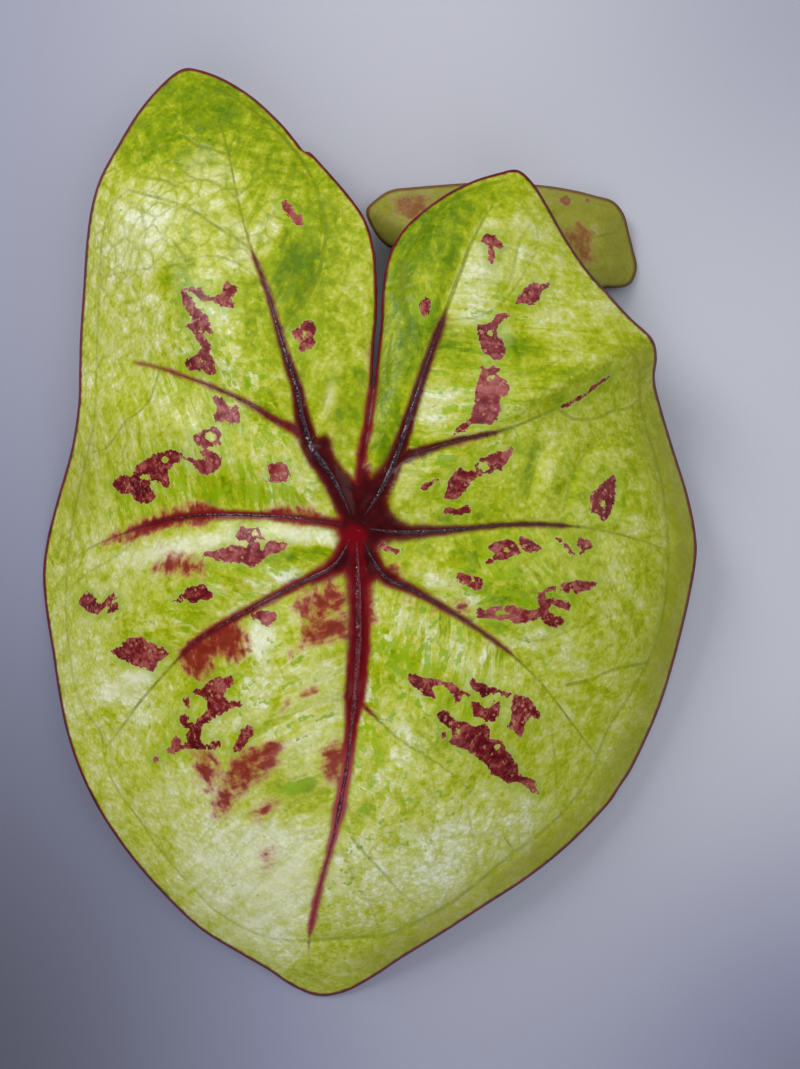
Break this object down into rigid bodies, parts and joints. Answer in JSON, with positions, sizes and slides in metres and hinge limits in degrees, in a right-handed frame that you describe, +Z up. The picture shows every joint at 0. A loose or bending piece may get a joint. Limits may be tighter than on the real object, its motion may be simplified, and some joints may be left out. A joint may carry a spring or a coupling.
{
  "type": "caladium",
  "caption": "Caladium leaves, heart-shaped, lime green with maroon flecks and dark ribs, on stalks joined at a cut tuber neck, lying down.",
  "frame": {"origin": "centre of the bounding box on the surface the plant lies on", "axes": "+Z up out of the surface, +Y from the big leaf's tip towards its lobes, +X to the right seen from above"},
  "size_m": [0.1979, 0.2783, 0.0499],
  "materials": {
    "front_blade": "satin",
    "rear_blade": "satin",
    "front_petiole": "satin",
    "rear_petiole": "satin",
    "crown": "matte"
  },
  "bodies": {
    "root": {"front_blade": "front_blade", "rear_blade": "rear_blade", "front_petiole": "front_petiole", "rear_petiole": "rear_petiole", "crown": "crown"}
  },
  "joints": []
}
